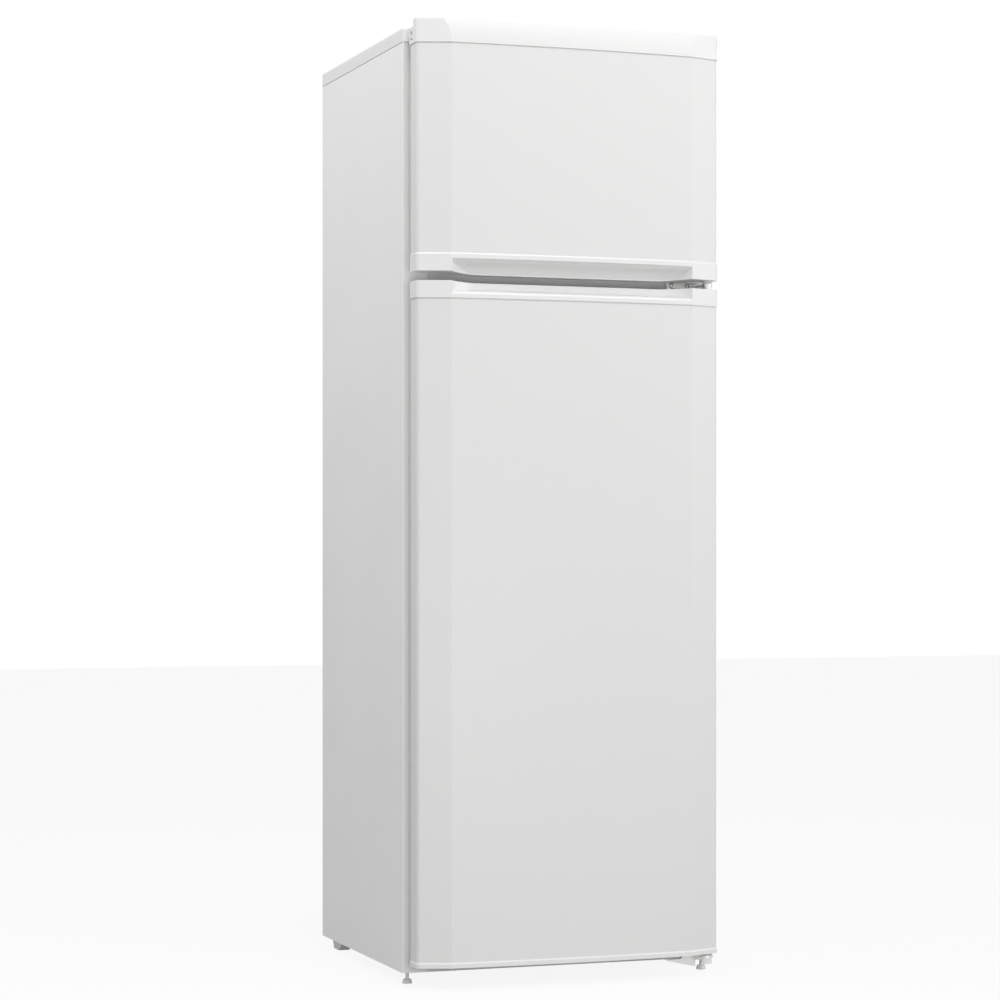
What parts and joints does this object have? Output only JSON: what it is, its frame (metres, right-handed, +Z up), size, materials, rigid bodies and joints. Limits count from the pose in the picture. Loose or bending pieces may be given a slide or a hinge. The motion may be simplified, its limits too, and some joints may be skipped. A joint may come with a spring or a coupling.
{
  "type": "top freezer refrigerator",
  "caption": "Free-standing white refrigerator with a freezer compartment above the fridge, finger-recess door grips, inner shelves, a crisper drawer and levelling feet.",
  "frame": {"origin": "on the floor, under the middle of the bounding box", "axes": "+Z up, -Y out of the doors, +X to the hinge side (right, seen from the front)"},
  "size_m": [0.554, 0.58, 1.6],
  "materials": {
    "white_steel": "gloss white enamel on steel sheet",
    "side_steel": "satin white enamel on steel sheet",
    "white_trim": "glossy white moulded plastic",
    "liner_plastic": "vacuum-formed white plastic, satin",
    "foam": "rigid insulating foam",
    "galvanised": "galvanised sheet",
    "zinc_steel": "zinc-plated steel",
    "black_enamel": "black enamel",
    "copper": "drawn copper tube",
    "aluminium": "rolled aluminium",
    "gasket_rubber": "white soft vinyl seal",
    "black_rubber": "black rubber",
    "grey_plastic": "light grey plastic",
    "foot_plastic": "pale moulded plastic",
    "black_plastic": "black plastic",
    "shelf_glass": "toughened glass",
    "clear_plastic": "clear moulded plastic",
    "lamp_glass": "frosted bulb",
    "coated_wire": "white coated wire"
  },
  "bodies": {
    "cabinet": {"side_panel_left": "side_steel", "side_panel_right": "side_steel", "top_panel": "side_steel", "back_panel": "galvanised", "base_panel": "white_steel", "niche_panel": "galvanised", "compressor_carrier": "galvanised", "centre_rail": "white_steel", "cabinet_foam": "foam", "fridge_liner": "liner_plastic", "freezer_liner": "liner_plastic", "worktop": "white_trim", "compressor": "black_enamel", "compressor_grommets": "black_rubber", "terminal_cover": "black_plastic", "evaporation_tray": "grey_plastic", "drain_tube": "grey_plastic", "condenser": "black_enamel", "condenser_clips": "grey_plastic", "refrigerant_pipes": "copper", "filter_drier": "copper", "evaporator_plates": "aluminium", "top_hinge": "zinc_steel", "middle_hinge": "zinc_steel", "bottom_hinge": "zinc_steel", "hinge_screws": "zinc_steel", "rear_feet": "foot_plastic", "control_housing": "white_trim", "lamp_bulb": "lamp_glass", "lamp_cover": "clear_plastic", "glass_shelves": "shelf_glass", "shelf_trims": "white_trim", "crisper_cover": "shelf_glass", "freezer_shelf": "coated_wire"},
    "freezer_door": {"freezer_door_panel": "white_steel", "freezer_door_cap": "white_trim", "freezer_cap_plug": "white_trim", "freezer_handle_trim": "white_trim", "freezer_door_foam": "foam", "freezer_door_liner": "liner_plastic", "freezer_door_gasket": "gasket_rubber", "freezer_door_bushes": "grey_plastic", "freezer_door_shelf_lower": "clear_plastic", "freezer_door_shelf_upper": "clear_plastic"},
    "fridge_door": {"fridge_door_panel": "white_steel", "fridge_handle_trim": "white_trim", "fridge_bottom_trim": "white_trim", "fridge_door_foam": "foam", "fridge_door_liner": "liner_plastic", "fridge_door_gasket": "gasket_rubber", "fridge_door_bushes": "grey_plastic", "bottle_shelf": "clear_plastic", "middle_shelves": "clear_plastic", "dairy_bin": "clear_plastic"},
    "dairy_lid": {"dairy_lid": "clear_plastic"},
    "crisper_drawer": {"crisper_drawer": "clear_plastic"},
    "thermostat_knob": {"thermostat_knob": "white_trim"},
    "light_switch": {"light_switch": "white_trim"},
    "front_left_foot": {"front_left_foot": "foot_plastic"},
    "front_right_foot": {"front_right_foot": "foot_plastic"}
  },
  "joints": [
    {"name": "freezer_door_hinge", "type": "hinge", "parent": "cabinet", "child": "freezer_door", "pos_m": [0.254, -0.254, 1.1808], "axis": [0, 0, 1], "range_deg": [0, 110]},
    {"name": "fridge_door_hinge", "type": "hinge", "parent": "cabinet", "child": "fridge_door", "pos_m": [0.254, -0.254, 0.0356], "axis": [0, 0, 1], "range_deg": [0, 110]},
    {"name": "crisper_drawer_slide", "type": "slide", "parent": "cabinet", "child": "crisper_drawer", "axis": [0, -1, 0], "range_m": [0, 0.185]},
    {"name": "light_switch_slide", "type": "slide", "parent": "cabinet", "child": "light_switch", "axis": [0, -1, 0], "range_m": [0, 0.006]},
    {"name": "thermostat_knob_turn", "type": "hinge", "parent": "cabinet", "child": "thermostat_knob", "pos_m": [0.196, -0.098, 1.05745], "axis": [-1, 0, 0], "range_deg": [0, 270]},
    {"name": "dairy_lid_hinge", "type": "hinge", "parent": "fridge_door", "child": "dairy_lid", "pos_m": [0, -0.218, 1.00045], "axis": [1, 0, 0], "range_deg": [0, 90]},
    {"name": "front_left_foot_screw", "type": "slide", "parent": "cabinet", "child": "front_left_foot", "axis": [0, 0, 1], "range_m": [-0.012, 0.008]},
    {"name": "front_right_foot_screw", "type": "slide", "parent": "cabinet", "child": "front_right_foot", "axis": [0, 0, 1], "range_m": [-0.012, 0.008]}
  ],
  "couplings": [
    {"joint": "crisper_drawer_slide", "follows": "fridge_door_hinge", "m_per_rad": 0.095},
    {"joint": "light_switch_slide", "follows": "fridge_door_hinge", "m_per_rad": 0.003}
  ]
}
